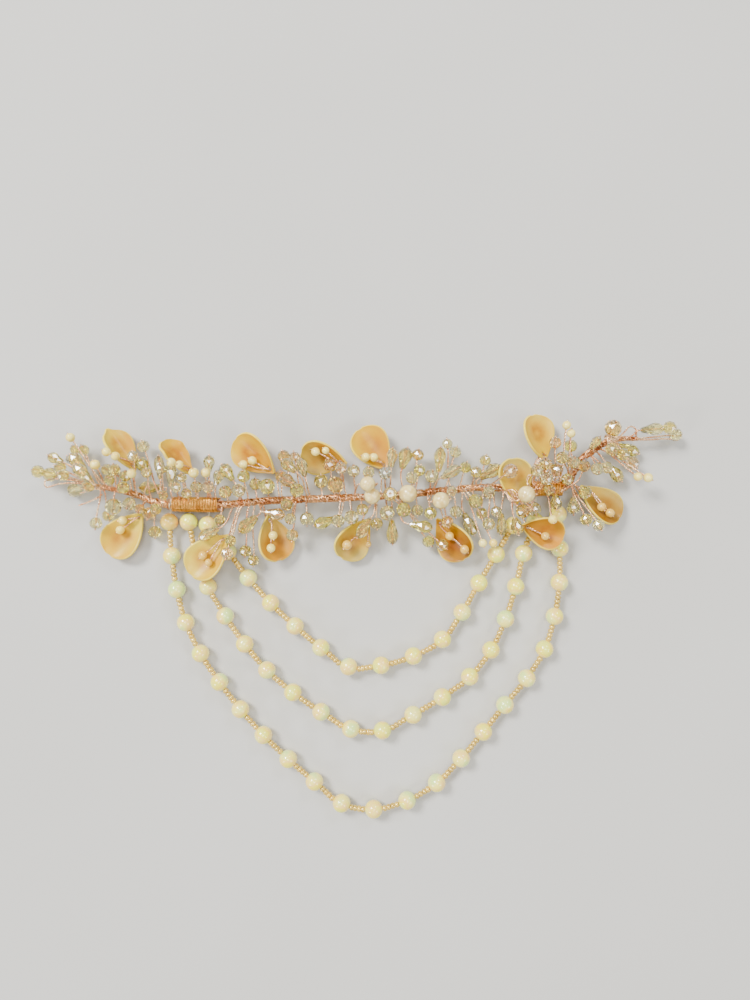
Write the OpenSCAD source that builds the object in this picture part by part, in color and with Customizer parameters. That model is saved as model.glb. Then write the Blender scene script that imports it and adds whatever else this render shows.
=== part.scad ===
/* [Wire] */
// Thickness of the bundle of twisted wire that forms the spine
spine_d = 2.6; // [2.2:0.1:3]
// Height of the middle of the spine above the surface it lies on
spine_z = 5.4; // [5.2:0.1:5.8]
// Thickness of a twig, a pair of wires twisted together
twig_d = 0.6; // [0.4:0.05:0.7]
// Length of wire that shows past the last stone on a twig
twig_end = 0.35; // [0.2:0.05:0.6]

/* [Stones] */
// Width of the hole drilled through each stone on a twig
stone_bore = 0.9; // [0.8:0.05:1]
// Facets round a cut stone
stone_sides = 8; // [8:1:10]
// Clear space between stones that share a twig
stone_gap = 0.2; // [0.1:0.05:0.4]

/* [Petals] */
// Thickness of a petal
petal_t = 1; // [0.8:0.1:1.2]
// Depth of the hollow across a petal
petal_cup = 2; // [1:0.1:2.4]
// Width of the hole near the base of a petal
petal_bore = 1.1; // [0.9:0.1:1.3]
// Distance of that hole from the pointed base
petal_bore_in = 2.2; // [2:0.1:2.6]

/* [Swags] */
// Width of a swag pearl
pearl_d = 6; // [5.6:0.1:6]
// Distance between pearls along a swag, filled by four seed beads
pearl_pitch = 11.6; // [11.5:0.1:11.8]
// Width of the hole drilled through a swag pearl
pearl_bore = 1.1; // [1:0.05:1.3]
// Thickness of the thread inside a pearl
thread_d = 0.8; // [0.6:0.05:0.85]
// Thickness of the run of seed beads between two pearls
seed_run_d = 2; // [1.8:0.1:2.2]
// Clear space between a pearl and the run of seed beads beside it
seed_gap = 0.5; // [0.4:0.05:0.6]

/* [Clips] */
// Length of a clip
clip_l = 19; // [17:0.5:20]
// Width of a clip
clip_w = 3.6; // [3.2:0.1:3.8]
// Thickness of each jaw of a clip
jaw_t = 1.1; // [0.9:0.05:1.2]
// Space between the jaws of a closed clip
jaw_gap = 1.2; // [1.1:0.05:1.4]
// Depth of the turns of wire that bind a clip to the spine
binding_t = 0.6; // [0.5:0.05:0.7]
// Length of a binding
binding_l = 16; // [14:0.5:16]

/* [Hidden] */

// Middle of the outline, which is set over the origin
middle = [-5.6, -39, 0];

// Route of the spine from left to right: x, y
SPINE = [
  [-94, 4.5], [-82, 2], [-71, -1.5], [-52, -1.8], [-36, -0.5], [-10, 0.5], [8, 1.5],
  [36, 4], [46, 3.4], [63, 3.8], [67, 9], [71, 14.5], [80, 20], [89, 20.5]
];

// Clips: x and y of the middle, turn
CLIPS = [[-61.5, -1.7, -1], [54.5, 3.6, 1]];

// Petals: root on the spine, x and y and z of the base, heading, pitch, roll, length, width
PETALS = [
  [-82, -81.0,   9.6, 5.6, 125,   0,  40, 16.2,  9.2],
  [-62, -61.2,   8.0, 7.0, 131,   5,  50, 15.0,  9.6],
  [-78, -79.0,  -4.5, 3.2, 232,   0,   0, 18.0, 12.8],
  [-46, -49.0, -12.0, 7.8, 228,   0,   8, 18.0, 12.8],
  [-32, -34.0,   9.0, 5.0, 139,   0, -24, 17.5, 12.6],
  [-12,  -9.5,  12.2, 5.8, 166,   0, -30, 15.8, 12.2],
  [-38, -36.0,  -5.0, 4.6, 283,   0, -28, 16.0, 12.4],
  [  2,   4.0,  10.0, 4.6, 124,   0,   5, 16.6, 12.8],
  [  0,  -2.0,  -6.7, 4.4, 233,   0, -28, 16.0, 12.4],
  [ 20,  21.0,  -6.5, 4.4, 306,   0,  28, 16.5, 12.4],
  [ 45,  47.5,  -1.5, 8.2,  96,   5,   0, 15.0, 10.8],
  [ 60,  57.5,  13.0, 5.2, 105,   0,  26, 16.0, 12.4],
  [ 46,  48.7,  -8.8, 8.6, 345,   0,  10, 14.5, 10.4],
  [ 66,  69.5,   4.5, 4.8, 320,   0, -22, 17.0, 12.4]
];

// Large drops: root on the spine, x and y and z of the middle, heading, length, width, tip stone
DROPS = [
  [-94, -99.5,  12.2, 8.0, 135, 7.5, 4.5, 0],
  [-93, -96.0,   8.2, 12.6, 135, 7.5, 4.5, 0],
  [-72, -76.3,   4.1, 3.6, 180, 7.5, 4.6, 0],
  [-72, -72.7,  10.7, 6.0,  95, 7.6, 3.8, 0],
  [-67, -68.0,   8.0, 9.0,  90, 8.0, 4.0, 0],
  [-40, -42.0,  -8.4, 9.5, 222, 7.5, 5.0, 0],
  [-47, -54.7, -11.5, 11, 208, 7.2, 4.0, 0],
  [-10, -16.9,  -7.7, 6.0, 200, 7.2, 4.5, 0],
  [  1,  -3.6,  -9.7, 9.4, 235, 7.5, 4.2, 0],
  [  5,   5.8, -11.0, 6.0, 272, 8.0, 4.3, 0],
  [  9,  10.0,  13.7, 7.0,  75, 7.2, 5.0, 0],
  [ 19,  21.8,  13.3, 6.0,  85, 8.2, 4.3, 0],
  [ 19,  25.1,   8.7, 10.5, 30, 7.2, 4.2, 0],
  [ 34,  38.6,   9.0, 8.0,  30, 8.0, 4.8, 0],
  [ 29,  31.8,  -8.3, 4.6, 295, 8.0, 4.6, 0],
  [ 10,  15.3,  -9.1, 9.2, 350, 7.4, 4.3, 0],
  [ 43,  42.5,  -8.4, 6.0, 270, 7.2, 4.0, 0],
  [ 81,  86.6,  17.2, 3.2, 335, 7.4, 4.5, 0],
  [ 88,  93.0,  23.4, 8.0,   5, 7.4, 4.5, 4.6],
  [ 74,  81.1,   9.0, 5.0, 310, 7.4, 4.5, 0]
];

// Small drops, in the same columns
SMALL_DROPS = [
  [-94, -107.0, 13.5, 8.0, 155, 5.2, 4.0, 0],
  [-88, -90.2,   9.7, 4.2, 150, 5.6, 4.4, 0],
  [-78, -77.4,  11.0, 9.0, 115, 5.8, 4.8, 0],
  [-57, -56.0,  12.0, 6.0,  90, 5.4, 4.2, 0],
  [-54, -53.0,   7.4, 5.2,  75, 5.2, 4.2, 0],
  [-45, -49.0,   8.7, 9.6, 125, 6.4, 4.4, 0],
  [-22, -28.4,  10.7, 11.5, 140, 6.0, 4.2, 0],
  [-21, -24.0,  10.3, 10.0, 105, 6.0, 4.0, 0],
  [-25, -28.8,   5.8, 9.8, 150, 5.8, 4.8, 0],
  [-37, -33.1,  -5.0, 9.2, 350, 6.4, 4.2, 0],
  [  4,   5.7,  13.7, 9.0,  85, 6.4, 3.8, 0],
  [ 45,  46.6,  -9.2, 11, 285, 5.4, 4.4, 0],
  [ 66,  66.8,  -2.2, 6.0, 270, 5.6, 4.6, 0],
  [ 61,  60.2,  -1.0, 9.0, 275, 5.0, 4.2, 0],
  [ 72,  73.7,  18.7, 8.0,  50, 5.2, 3.4, 0]
];

// Crystals: root on the spine, x and y and z of the middle, width, width of a second one inside it
CRYSTALS_LEFT_END = [
  [-94, -113.5,  9.3,  6.5, 4.5, 5.0],
  [-94, -104.8, 10.2,  9.5, 4.2, 0],
  [-94, -103.4, 13.6,  4.2, 3.6, 0],
  [-94, -102.0, 17.0,  4.5, 3.4, 0],
  [-92,  -98.8, 16.7,  5.0, 4.0, 0],
  [-94, -102.4,  7.6, 12.5, 4.0, 0],
  [-94, -102.0,  3.4,  3.4, 5.6, 0],
  [-94,  -95.2,  4.2,  9.8, 4.4, 0],
  [-87,  -87.3,  9.8,  8.0, 4.3, 0],
  [-88,  -87.6,  6.0, 11.6, 3.6, 0],
  [-88,  -87.7, -2.6,  7.0, 5.8, 0],
  [-92,  -90.8, -5.4,  3.2, 4.2, 0],
  [-93,  -93.3, -8.1,  7.5, 4.3, 0]
];
CRYSTALS_LEFT = [
  [-84, -83.1,  7.6,  9.2, 4.0, 0],
  [-84, -83.3,  3.6, 10.5, 4.2, 0],
  [-81, -81.9, -1.7,  8.5, 4.6, 0],
  [-77, -77.8, -3.4, 10.5, 3.4, 0],
  [-75, -75.9, -4.9,  6.5, 4.6, 0],
  [-73, -72.6, -3.4, 10.0, 4.0, 0],
  [-75, -75.0, -11.0, 2.6, 4.5, 0],
  [-71, -78.5, 18.0,  5.0, 4.4, 0],
  [-80, -79.6, 13.9, 12.6, 3.6, 0],
  [-75, -75.0,  8.4, 12.8, 3.5, 0],
  [-70, -70.4,  9.7, 12.5, 3.8, 0],
  [-63, -64.2,  7.0,  9.5, 3.5, 0],
  [-66, -65.4,  3.6, 12.5, 3.6, 0],
  [-59, -59.4,  4.0,  9.5, 4.2, 0],
  [-62, -62.0,  1.6, 12.0, 3.5, 0],
  [-70, -69.6,  1.0, 12.0, 3.2, 0],
  [-55, -54.9,  3.9, 12.0, 4.3, 0]
];
CRYSTALS_MID_LEFT = [
  [-51, -51.8, -7.0,  8.0, 4.0, 0],
  [-43, -43.7,  7.4,  9.5, 4.4, 0],
  [-40, -40.3,  5.1,  6.0, 4.4, 0],
  [-36, -35.6,  4.0, 11.0, 5.4, 0],
  [-49, -49.7,  2.3,  9.5, 4.5, 0],
  [-45, -45.0,  2.6, 11.5, 4.6, 0],
  [-31, -31.8,  7.8,  5.0, 4.4, 0],
  [-26, -30.8, 14.6,  6.0, 4.4, 0],
  [-24, -26.9, 14.2,  8.0, 3.6, 0],
  [-26, -25.6,  2.6, 12.6, 4.8, 0],
  [-29, -29.2, -2.0, 10.5, 4.2, 0],
  [-26, -28.0, -6.7, 10.5, 4.0, 0],
  [-23, -22.9, -6.7,  6.0, 5.0, 0],
  [-26, -27.6, -12.1, 7.4, 4.4, 0],
  [-44, -47.0, -13.9, 13.8, 3.9, 0],
  [-42, -43.7, -17.3,  4.6, 4.2, 0],
  [-45, -48.4, -18.1, 12.5, 4.2, 0],
  [-40, -41.1, -20.6,  3.8, 4.0, 0]
];
CRYSTALS_CENTRE = [
  [-13, -15.2, 11.3, 10.0, 4.4, 0],
  [ -9, -11.2, 10.0, 12.5, 4.2, 0],
  [ -7,  -7.1,  9.3,  9.0, 4.4, 0],
  [ -2,  -2.1,  8.7, 10.5, 4.2, 0],
  [  3,   3.3,  8.3, 12.0, 4.4, 0],
  [-18, -18.1,  6.0,  7.0, 5.0, 0],
  [-13, -13.0,  4.6, 10.5, 5.6, 0],
  [ -5,  -4.2, -3.6,  8.5, 4.2, 0],
  [ -8,  -7.8, -6.2,  9.5, 5.0, 0],
  [  5,   5.0,  1.5, 10.5, 5.0, 0],
  [  9,   9.4, -3.8, 11.6, 5.0, 0],
  [  4,   4.0, -4.8, 10.5, 5.2, 0],
  [-11, -12.2, -7.4, 10.0, 4.6, 0],
  [  0,   0.6, -8.2,  6.0, 4.4, 0],
  [ 12,  14.5, 15.0,  6.0, 4.2, 0],
  [ 13,  14.9,  9.6,  8.0, 4.2, 0],
  [ 12,  12.2,  6.9, 11.5, 4.2, 0],
  [ 14,  14.2, -3.8,  6.5, 4.2, 0]
];
CRYSTALS_MID_RIGHT = [
  [ 26,  24.5, 18.8,  5.2, 3.8, 0],
  [ 23,  27.0, 15.8,  7.0, 4.2, 0],
  [ 28,  30.4, 10.7,  6.5, 4.2, 0],
  [ 18,  18.8,  7.5, 10.5, 4.8, 0],
  [ 32,  33.4,  8.8, 11.0, 4.0, 0],
  [ 35,  37.3, 13.2,  5.2, 4.0, 0],
  [ 25,  25.2,  2.4, 11.5, 3.5, 0],
  [ 18,  18.5, -4.7,  8.5, 4.4, 0],
  [ 27,  27.1, -4.2,  6.5, 4.3, 0],
  [ 33,  33.2, -0.8, 10.4, 5.0, 0],
  [ 37,  37.7,  2.0, 10.5, 4.3, 0],
  [ 36,  36.3, -4.6,  3.2, 4.2, 0],
  [ 39,  40.3, -4.2,  9.0, 3.8, 0],
  [ 38,  37.7, -8.4,  9.5, 4.4, 0],
  [ 22,  24.0, -7.7,  9.5, 4.2, 0],
  [  6,  18.0, -14.2, 4.5, 4.3, 0],
  [  4,  22.6, -15.4, 6.8, 4.1, 0]
];
CRYSTALS_RIGHT = [
  [ 37,  44.0,  8.7, 15.4, 5.0, 0],
  [ 51,  53.1, -3.4,  8.0, 4.8, 0],
  [ 42,  48.5, -4.2, 12.0, 4.6, 0],
  [ 60,  60.1, 18.7,  9.5, 4.2, 0],
  [ 67,  66.1, 18.0,  6.0, 4.6, 0],
  [ 65,  65.3, 11.9, 12.5, 4.5, 0],
  [ 68,  69.6, 10.8,  9.5, 4.2, 0],
  [ 73,  73.4,  9.8, 11.5, 4.4, 0],
  [ 72,  77.0, 10.4,  9.5, 4.2, 0],
  [ 66,  69.5,  2.0, 10.5, 4.4, 0],
  [ 66,  70.0, -7.0,  9.5, 4.2, 0],
  [ 66,  73.8, -8.8, 10.5, 4.2, 0],
  [ 52,  52.3,  8.8, 16.5, 4.2, 0],
  [ 56,  56.0,  6.4, 13.5, 4.4, 0],
  [ 57,  57.8,  3.0, 10.0, 4.0, 0],
  [ 60,  60.2,  9.6, 10.5, 4.4, 0],
  [ 66,  61.2, 13.2, 14.0, 4.2, 0],
  [ 57,  56.2, 11.4, 12.0, 4.4, 0],
  [ 63,  63.0,  6.2, 13.0, 4.0, 0],
  [ 78,  79.2, 23.5, 10.0, 5.8, 0],
  [ 77,  78.6, 16.4, 10.5, 4.6, 0],
  [ 79,  83.0, 14.8,  8.5, 4.4, 0],
  [ 80,  87.2, 12.2,  5.2, 4.8, 0],
  [ 88, 102.2, 22.0,  4.5, 4.6, 0]
];

// Pearls on twigs, in the columns of the crystals
SEED_PEARLS = [
  [-90, -101.7, 20.5,  9.0, 3.1, 0],
  [-90,  -92.6, 11.2, 11.0, 3.4, 0],
  [-80,  -80.2,  8.2, 11.8, 3.2, 0],
  [-59,  -59.6,  8.4, 12.5, 3.4, 0],
  [-57,  -56.2,  8.6, 10.0, 3.2, 0],
  [ 29,   35.7, -14.7, 9.5, 2.8, 0],
  [ 30,   39.6, -14.7, 6.5, 2.8, 0],
  [ 61,   63.3, 24.2, 12.0, 2.9, 0],
  [ 64,   65.0, 21.6, 11.0, 2.9, 0],
  [ 57,   57.9, -7.0, 14.0, 3.0, 0],
  [ 75,   86.9,  7.2, 11.0, 2.9, 0],
  [ 75,   90.8,  7.0,  9.5, 3.2, 0]
];
CENTRE_PEARLS = [
  [ -6,  -2.4,  4.6, 14.5, 5.0, 0],
  [ -1,  -0.9,  0.8, 11.0, 5.4, 0],
  [ 10,  10.9,  1.6, 11.0, 6.0, 0],
  [ 21,  21.7, -0.7, 11.5, 5.6, 0],
  [ 53,  49.3,  1.2, 14.5, 5.6, 0]
];

// Routes of the swags from their left end: x, y
OUTER_SWAG = [
  [-70, -7.6], [-67.5, -29], [-59.8, -50.5], [-39.6, -77], [-14, -99.5], [-3.5, -104],
  [19, -96.3], [43, -70], [57, -51], [62.4, -29], [62.3, -5]
];
MIDDLE_SWAG = [
  [-63.4, -7.6], [-56.6, -29.5], [-36, -58], [-8, -77.2], [3.4, -77.2],
  [32, -59.7], [44.3, -40], [50.4, -18.5], [54.5, -7.5]
];
INNER_SWAG = [
  [-56.9, -8.6], [-36, -34.4], [-11, -55.2], [0, -56.4],
  [21.5, -48.4], [34.6, -29.3], [46.9, -8.8]
];

// Bare thread past the first and the last pearl of the outer, middle and inner swag
SWAG_ENDS = [[0.1, 2.6], [0.1, 5.2], [0.1, 6.4]];

// Turned profiles of the stones as shares of their size: height, radius
CRYSTAL_CUT = [[-0.42, 0.27], [0, 0.5], [0.42, 0.27]];
DROP_CUT = [[-0.5, 0.2], [-0.2, 0.32], [0.12, 0.5], [0.36, 0.38], [0.5, 0.2]];

// Rows along a petal and strips across half of it
petal_rows = 8;
petal_strips = 2;
// Half of the narrowest width of a petal, at its two ends
petal_nip = 0.35;
// Largest value of the teardrop curve
teardrop_peak = 0.77;

// Clear space round the jaw inside a binding, and the round of the binding's corners
jaw_slack = 0.2;
binding_r = 0.5;
// Turns that stand out on a binding, and how far
binding_turns = 8;
turn_rise = 0.12;

// Wire sections of the spine between two of its route points
spine_steps = 2;
spine_sides = 8;
twig_sides = 5;
// Straight wire before the point of a drop
drop_lead = 1;

// Point on a smooth curve between b and c, at the share t of the way
function between(a, b, c, d, t) =
  ((2 * b) + (c - a) * t + (2 * a - 5 * b + 4 * c - d) * t * t
    + (3 * b - a - 3 * c + d) * t * t * t) / 2;

// Smooth route through the given points, with some steps between two of them
function smooth(route, steps) = let (last = len(route) - 1) [
  for (i = [0:last - 1]) for (k = [0:steps - 1])
    between(route[max(i - 1, 0)], route[i], route[i + 1], route[min(i + 2, last)], k / steps),
  route[last]
];

function unit(v) = v / norm(v);

spine_route = smooth(SPINE, spine_steps);

// Point of the spine at a given x
function on_spine(x) = [x, lookup(x, spine_route), spine_z];

function place(row) = [row[1], row[2], row[3]];
function heading(angle) = [cos(angle), sin(angle), 0];

// Length of a route up to each of its points
function run_to(route, i = 0, run = 0) = i == len(route) - 1 ? [run]
  : concat([run], run_to(route, i + 1, run + norm(route[i + 1] - route[i])));

// Middles of the pearls of a swag, one pitch apart along its route
function pearl_row(route) = let (
    fine = smooth(route, 8),
    run = run_to(fine),
    count = floor(run[len(run) - 1] / pearl_pitch + 0.5),
    step = run[len(run) - 1] / count,
    xs = [for (i = [0:len(fine) - 1]) [run[i], fine[i].x]],
    ys = [for (i = [0:len(fine) - 1]) [run[i], fine[i].y]]
  ) [for (i = [0:count]) [lookup(i * step, xs), lookup(i * step, ys), pearl_d / 2]];

// Direction of the hole of each pearl, along its neighbours
function hole_of(row, i) = unit(row[min(i + 1, len(row) - 1)] - row[max(i - 1, 0)]);

// Turns the z axis to a direction and carries it to a place
module aim(at, direction) {
  translate(at)
    rotate([0, acos(direction.z / norm(direction)), atan2(direction.y, direction.x)])
      children();
}

// Ring of points square to a direction, turned by a share of a side
function ring(at, direction, radius, sides, share = 0) = let (
    up = abs(direction.z) > 0.9 ? [1, 0, 0] : [0, 0, 1],
    u = unit(cross(up, direction)),
    v = cross(direction, u)
  ) [for (k = [0:sides - 1]) let (a = 360 * (k + share) / sides)
      at + radius * (cos(a) * u + sin(a) * v)];

// Faces of a closed skin over a stack of rings
function skin(rings, sides) = concat(
  [[for (k = [sides - 1:-1:0]) k]],
  [[for (k = [0:sides - 1]) (rings - 1) * sides + k]],
  [for (r = [0:rings - 2]) for (k = [0:sides - 1]) let (n = (k + 1) % sides)
    for (t = [[r * sides + k, r * sides + n, (r + 1) * sides + k],
              [r * sides + n, (r + 1) * sides + n, (r + 1) * sides + k]]) t]
);

function flipped(faces) = [for (f = faces) [for (k = [len(f) - 1:-1:0]) f[k]]];

// Wire of one thickness through a list of points, each ring turned half a side on from the last
module wire(route, thickness, sides) {
  last = len(route) - 1;
  points = [for (i = [0:last]) let (way = unit(route[min(i + 1, last)] - route[max(i - 1, 0)]))
    each ring(route[i], way, thickness / 2, sides, i / 2)];
  polyhedron(points, flipped(skin(last + 1, sides)));
}

// Stone with flat facets, each ring of corners turned half a facet from the one below
module cut_stone(cut, length, width) {
  count = len(cut);
  points = [for (r = [0:count - 1]) for (k = [0:stone_sides - 1])
    let (a = 360 * (k + r / 2) / stone_sides)
      [width * cut[r][1] * cos(a), width * cut[r][1] * sin(a), length * cut[r][0]]];
  polyhedron(points, flipped(skin(count, stone_sides)));
}

module drilled(bore, length) {
  difference() {
    children();
    cylinder(h = length * 1.4, d = bore, center = true, $fn = 24);
  }
}

module crystal(width) {
  drilled(stone_bore, width) cut_stone(CRYSTAL_CUT, width, width);
}

module drop(length, width) {
  drilled(stone_bore, length) cut_stone(DROP_CUT, length, width);
}

module pearl(width, bore) {
  drilled(bore, width) sphere(d = width, $fn = 32);
}

// Direction of a straight twig, and the middle of a second stone on it
function twig_way(row) = unit(place(row) - on_spine(row[0]));
function second_place(row) = place(row) - twig_way(row) * ((row[4] + row[5]) / 2 * 0.84 + stone_gap);

module crystals(rows) {
  color("Beige") for (row = rows) {
    aim(place(row), twig_way(row)) crystal(row[4]);
    if (row[5] > 0) aim(second_place(row), twig_way(row)) crystal(row[5]);
  }
}

module twig_pearls(rows) {
  color("Ivory") for (row = rows) aim(place(row), twig_way(row)) pearl(row[4], stone_bore);
}

module stone_drop(row) {
  way = heading(row[4]);
  aim(place(row), way) drop(row[5], row[6]);
  if (row[7] > 0)
    aim(place(row) + way * (row[5] / 2 + row[7] * 0.42 + stone_gap), way) crystal(row[7]);
}

module drop_node(row) {
  color("Wheat") stone_drop(row);
}

module small_drops() {
  color("Wheat") for (row = SMALL_DROPS) stone_drop(row);
}

// Teardrop outline and hollow of a petal, at its own base, along x
function petal_half(turn, width) =
  max(petal_nip, width / 2 * sin(turn) * sin(turn / 2) / teardrop_peak);
function petal_point(row, turn, share) = let (
    along = (1 - cos(turn)) / 2,
    half = petal_half(turn, row[8])
  ) [row[7] * along, half * share,
     petal_cup * (pow(half * share / row[8] * 2, 2) + pow(along - 0.55, 2))];

module petal_blank(row) {
  across = 2 * petal_strips + 1;
  top = [for (i = [0:petal_rows]) for (j = [-petal_strips:petal_strips])
    petal_point(row, 180 * i / petal_rows, j / petal_strips)];
  count = len(top);
  points = concat(top, [for (p = top) p - [0, 0, petal_t]]);
  cells = [for (i = [0:petal_rows - 1]) for (j = [0:across - 2]) i * across + j];
  edge = concat(
    [for (j = [0:across - 2]) j],
    [for (i = [0:petal_rows - 1]) i * across + across - 1],
    [for (j = [across - 1:-1:1]) petal_rows * across + j],
    [for (i = [petal_rows:-1:1]) i * across]
  );
  faces = concat(
    [for (c = cells) each [[c, c + across, c + across + 1], [c, c + across + 1, c + 1]]],
    [for (c = cells) each [[c + count, c + across + 1 + count, c + across + count],
                           [c + count, c + 1 + count, c + across + 1 + count]]],
    [for (k = [0:len(edge) - 1]) let (a = edge[k], b = edge[(k + 1) % len(edge)])
      each [[a, b, b + count], [a, b + count, a + count]]]
  );
  polyhedron(points, flipped(faces));
}

module lay_petal(row) {
  translate(place(row)) rotate([0, 0, row[4]]) rotate([0, -row[5], 0]) rotate([row[6], 0, 0])
    children();
}

module petal(number) {
  row = PETALS[number - 1];
  color("Goldenrod") lay_petal(row) difference() {
    petal_blank(row);
    translate([petal_bore_in, 0, 0]) cylinder(h = 8, d = petal_bore, center = true, $fn = 24);
  }
}

// Middle of the hole of a petal, and the way through it
function turned(row, v) = let (
    r = [v.x, v.y * cos(row[6]) - v.z * sin(row[6]), v.y * sin(row[6]) + v.z * cos(row[6])],
    p = [r.x * cos(row[5]) - r.z * sin(row[5]), r.y, r.x * sin(row[5]) + r.z * cos(row[5])]
  ) [p.x * cos(row[4]) - p.y * sin(row[4]), p.x * sin(row[4]) + p.y * cos(row[4]), p.z];
function petal_hole(row) = place(row) + turned(row, [petal_bore_in, 0, 0]);

// Routes of the twigs, from the spine to past what each one carries
function crystal_twig(row) =
  [on_spine(row[0]), place(row) + twig_way(row) * (row[4] * 0.42 + twig_end)];
function drop_twig(row) = let (
    way = heading(row[4]),
    tip = row[7] > 0 ? row[7] * 0.84 + stone_gap : 0
  ) [on_spine(row[0]), place(row) - way * (row[5] / 2 + drop_lead),
     place(row) + way * (row[5] / 2 + tip + twig_end)];
function petal_twig(row) = [
  on_spine(row[0]),
  petal_hole(row) - turned(row, [0, 0, petal_t + 1]),
  petal_hole(row) + turned(row, [0, 0, 0.9])
];

module vine_wire() {
  color("RosyBrown") {
    wire([for (at = spine_route) [at.x, at.y, spine_z]], spine_d, spine_sides);
    for (rows = [CRYSTALS_LEFT_END, CRYSTALS_LEFT, CRYSTALS_MID_LEFT, CRYSTALS_CENTRE,
                 CRYSTALS_MID_RIGHT, CRYSTALS_RIGHT, SEED_PEARLS, CENTRE_PEARLS])
      for (row = rows) wire(crystal_twig(row), twig_d, twig_sides);
    for (rows = [DROPS, SMALL_DROPS])
      for (row = rows) wire(drop_twig(row), twig_d, twig_sides);
    for (row = PETALS) wire(petal_twig(row), twig_d, twig_sides);
    for (row = CLIPS) binding(row);
  }
}

// Two jaws joined at one end by a round back
module clip(row) {
  back = jaw_t + jaw_gap / 2;
  color("Peru") translate([row.x, row.y, 0]) rotate([90, 0, row.z])
    linear_extrude(clip_w, center = true) difference() {
      union() {
        translate([back - clip_l / 2, 0]) square([clip_l - back, 2 * back]);
        translate([back - clip_l / 2, back]) circle(back, $fn = 48);
      }
      translate([back - clip_l / 2, jaw_t]) square([clip_l, jaw_gap]);
      translate([back - clip_l / 2, back]) circle(jaw_gap / 2, $fn = 48);
    }
}

// Band with cut corners round the spine and the upper jaw of a clip
module band(length, grow) {
  across = clip_w / 2 + jaw_slack + binding_t + grow;
  low = jaw_t + jaw_gap - jaw_slack - binding_t - grow;
  high = spine_z + spine_d / 2 + binding_t + grow;
  linear_extrude(length, center = true) polygon([
    [-across, low + binding_r], [binding_r - across, low],
    [across - binding_r, low], [across, low + binding_r],
    [across, high - binding_r], [across - binding_r, high],
    [binding_r - across, high], [-across, high - binding_r]
  ]);
}

// Close turns of wire round the spine and the upper jaw of a clip
module binding(row) {
  pitch = binding_l / binding_turns;
  translate([row.x + 1, row.y, 0]) rotate([90, 0, 90 + row.z]) difference() {
    union() {
      band(binding_l, 0);
      for (i = [0:binding_turns - 1])
        translate([0, 0, (i + 0.5) * pitch - binding_l / 2]) band(pitch * 0.6, turn_rise);
    }
    translate([0, jaw_t * 3 / 2 + jaw_gap, 0])
      cube([clip_w + 2 * jaw_slack, jaw_t + 2 * jaw_slack, binding_l + 2], center = true);
  }
}

module swag_pearls(route) {
  row = pearl_row(route);
  color("OldLace") for (i = [0:len(row) - 1])
    aim(row[i], hole_of(row, i)) pearl(pearl_d, pearl_bore);
}

// Rod between two points
module rod(from, to, thickness) {
  aim(from, to - from) cylinder(h = norm(to - from), d = thickness, $fn = 24);
}

// Thread through the pearls, swelling to a run of seed beads between them
module swag_string(route, ends) {
  row = pearl_row(route);
  last = len(row) - 1;
  reach = pearl_d / 2 + seed_gap;
  color("Khaki") {
    for (i = [0:last]) let (
        way = hole_of(row, i),
        back = i == 0 ? pearl_d / 2 + ends[0] : reach + 0.4,
        on = i == last ? pearl_d / 2 + ends[1] : reach + 0.4
      ) rod(row[i] - way * back, row[i] + way * on, thread_d);
    for (i = [0:last - 1])
      rod(row[i] + hole_of(row, i) * reach, row[i + 1] - hole_of(row, i + 1) * reach, seed_run_d);
  }
}

function numbered(stem, i) = str(stem, i < 10 ? "0" : "", i);

// Sets the middle of the outline over the origin
module at_origin() {
  translate(-middle) children();
}

at_origin() vine_wire();
at_origin() clip(CLIPS[0]);  // clip_left
at_origin() clip(CLIPS[1]);  // clip_right
for (i = [1:len(PETALS)]) at_origin() petal(i);
for (i = [1:len(DROPS)])
  at_origin() drop_node(DROPS[i - 1]);
at_origin() crystals(CRYSTALS_LEFT_END);  // crystals_left_end
at_origin() crystals(CRYSTALS_LEFT);  // crystals_left
at_origin() crystals(CRYSTALS_MID_LEFT);  // crystals_mid_left
at_origin() crystals(CRYSTALS_CENTRE);  // crystals_centre
at_origin() crystals(CRYSTALS_MID_RIGHT);  // crystals_mid_right
at_origin() crystals(CRYSTALS_RIGHT);  // crystals_right
at_origin() small_drops();
at_origin() twig_pearls(SEED_PEARLS);  // seed_pearls
at_origin() twig_pearls(CENTRE_PEARLS);  // centre_pearls
at_origin() swag_pearls(OUTER_SWAG);  // swag_outer_pearls
at_origin() swag_pearls(MIDDLE_SWAG);  // swag_middle_pearls
at_origin() swag_pearls(INNER_SWAG);  // swag_inner_pearls
at_origin() swag_string(OUTER_SWAG, SWAG_ENDS[0]);  // swag_outer_string
at_origin() swag_string(MIDDLE_SWAG, SWAG_ENDS[1]);  // swag_middle_string
at_origin() swag_string(INNER_SWAG, SWAG_ENDS[2]);  // swag_inner_string
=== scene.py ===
"""Looks of the hair vine: twisted rose gold wire with crystals, petals and three pearl swags."""
import math
import random
from collections import namedtuple

import bmesh
import bpy
from mathutils import Matrix, Vector


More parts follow.
